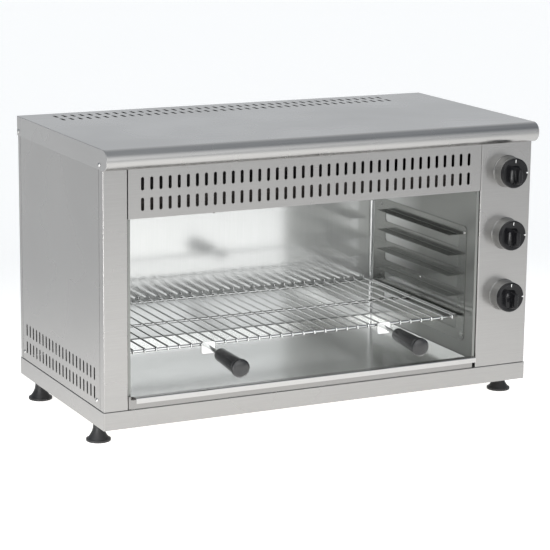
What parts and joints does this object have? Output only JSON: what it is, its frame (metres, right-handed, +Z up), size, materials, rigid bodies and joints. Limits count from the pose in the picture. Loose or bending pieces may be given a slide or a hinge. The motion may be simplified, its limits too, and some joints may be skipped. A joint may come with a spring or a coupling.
{
  "type": "cheese melter",
  "caption": "Countertop electric cheese melter: open-fronted stainless cavity with a handled wire rack on runners, crumb tray, overhead elements and side controls.",
  "frame": {"origin": "on the floor, below the middle of the whole outline", "axes": "+X to the right seen from the front, +Y to the back, +Z up"},
  "size_m": [0.8142, 0.5132, 0.4933],
  "materials": {
    "casing_steel": "satin",
    "cavity_steel": "polished",
    "runner_steel": "satin",
    "tray_steel": "polished",
    "rack_chrome": "polished",
    "grip_plastic": "satin",
    "element_steel": "matte",
    "fastener_steel": "polished",
    "bezel_metal": "satin",
    "knob_plastic": "gloss",
    "switch_plastic": "matte",
    "foot_plastic": "satin",
    "gland_plastic": "satin",
    "terminal_ceramic": "satin"
  },
  "bodies": {
    "root": {"base_tray": "casing_steel", "front_post": "casing_steel", "control_panel": "casing_steel", "front_header": "casing_steel", "left_side_panel": "casing_steel", "right_side_panel": "casing_steel", "back_panel": "casing_steel", "top_cover": "casing_steel", "cavity_liner": "cavity_steel", "cavity_floor": "cavity_steel", "cavity_ceiling": "cavity_steel", "heat_shield": "element_steel", "left_runner": "runner_steel", "right_runner": "runner_steel", "heating_element_front": "element_steel", "heating_element_middle": "element_steel", "heating_element_rear": "element_steel", "runner_rivets": "fastener_steel", "cover_screws": "fastener_steel", "side_screws": "fastener_steel", "back_screws": "fastener_steel", "switch_nuts": "fastener_steel", "foot_nuts": "fastener_steel", "element_bushes": "fastener_steel", "element_hangers": "runner_steel", "bezel_lower": "bezel_metal", "switch_lower": "switch_plastic", "bezel_middle": "bezel_metal", "switch_middle": "switch_plastic", "bezel_upper": "bezel_metal", "switch_upper": "switch_plastic", "gland_body": "gland_plastic", "gland_dome_nut": "gland_plastic", "gland_lock_nut": "gland_plastic", "terminal_block": "terminal_ceramic"},
    "rack": {"rack_frame": "rack_chrome", "rack_wires": "rack_chrome", "left_handle_bracket": "rack_chrome", "right_handle_bracket": "rack_chrome", "left_grip": "grip_plastic", "right_grip": "grip_plastic"},
    "crumb_tray": {"crumb_tray": "tray_steel"},
    "knob_lower": {"knob_lower": "knob_plastic", "switch_shaft_lower": "fastener_steel"},
    "knob_middle": {"knob_middle": "knob_plastic", "switch_shaft_middle": "fastener_steel"},
    "knob_upper": {"knob_upper": "knob_plastic", "switch_shaft_upper": "fastener_steel"},
    "foot_front_left": {"foot_pad_front_left": "foot_plastic", "foot_stud_front_left": "fastener_steel"},
    "foot_front_right": {"foot_pad_front_right": "foot_plastic", "foot_stud_front_right": "fastener_steel"},
    "foot_back_left": {"foot_pad_back_left": "foot_plastic", "foot_stud_back_left": "fastener_steel"},
    "foot_back_right": {"foot_pad_back_right": "foot_plastic", "foot_stud_back_right": "fastener_steel"}
  },
  "joints": [
    {"name": "knob_lower_turn", "type": "hinge", "parent": "root", "child": "knob_lower", "pos_m": [0.351, -0.15914, 0.19], "axis": [0, 1, 0], "range_deg": [0, 270]},
    {"name": "knob_middle_turn", "type": "hinge", "parent": "root", "child": "knob_middle", "pos_m": [0.351, -0.15914, 0.2995], "axis": [0, 1, 0], "range_deg": [0, 270]},
    {"name": "knob_upper_turn", "type": "hinge", "parent": "root", "child": "knob_upper", "pos_m": [0.351, -0.15914, 0.409], "axis": [0, 1, 0], "range_deg": [0, 270]},
    {"name": "rack_slide", "type": "slide", "parent": "root", "child": "rack", "axis": [0, -1, 0], "range_m": [0, 0.25]},
    {"name": "crumb_tray_slide", "type": "slide", "parent": "root", "child": "crumb_tray", "axis": [0, -1, 0], "range_m": [0, 0.33]},
    {"name": "foot_front_left_height", "type": "slide", "parent": "root", "child": "foot_front_left", "axis": [0, 0, -1], "range_m": [0, 0.008]},
    {"name": "foot_front_right_height", "type": "slide", "parent": "root", "child": "foot_front_right", "axis": [0, 0, -1], "range_m": [0, 0.008]},
    {"name": "foot_back_left_height", "type": "slide", "parent": "root", "child": "foot_back_left", "axis": [0, 0, -1], "range_m": [0, 0.008]},
    {"name": "foot_back_right_height", "type": "slide", "parent": "root", "child": "foot_back_right", "axis": [0, 0, -1], "range_m": [0, 0.008]}
  ]
}
